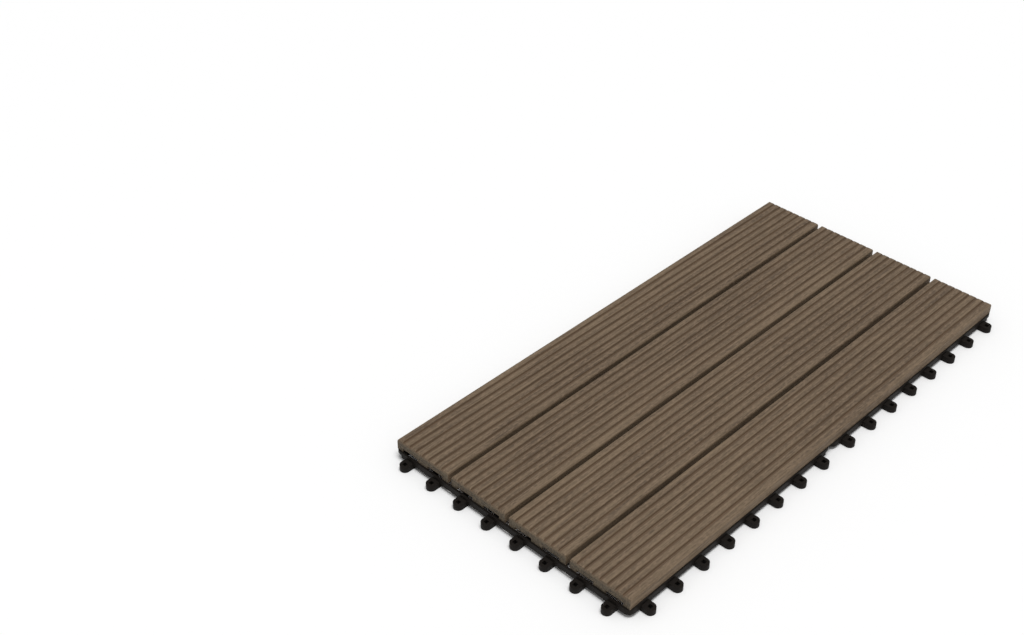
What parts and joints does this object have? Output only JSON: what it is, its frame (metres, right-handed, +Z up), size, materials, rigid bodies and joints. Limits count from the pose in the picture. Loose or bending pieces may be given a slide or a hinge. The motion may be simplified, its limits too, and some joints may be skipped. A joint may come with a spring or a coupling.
{
  "type": "deck tile",
  "caption": "Rectangular interlocking deck tile: ridged composite boards screwed onto black moulded base grids, with tabs on two edges that click under the next tile.",
  "frame": {"origin": "on the ground, under the middle of the footprint, tabs included", "axes": "+X along the boards, away from the short edge with tabs; +Y across the boards, away from the long edge with tabs; +Z up"},
  "size_m": [0.6082, 0.3082, 0.022],
  "materials": {
    "composite_board": "matt wood-plastic composite, extruded and brushed",
    "base_plastic": "black polypropylene, moulded matt",
    "screw_steel": "bright zinc plated"
  },
  "bodies": {
    "root": {"deck_board_1": "composite_board", "deck_board_2": "composite_board", "deck_board_3": "composite_board", "deck_board_4": "composite_board", "base_grid_near": "base_plastic", "base_grid_far": "base_plastic", "board_screws": "screw_steel"}
  },
  "joints": []
}
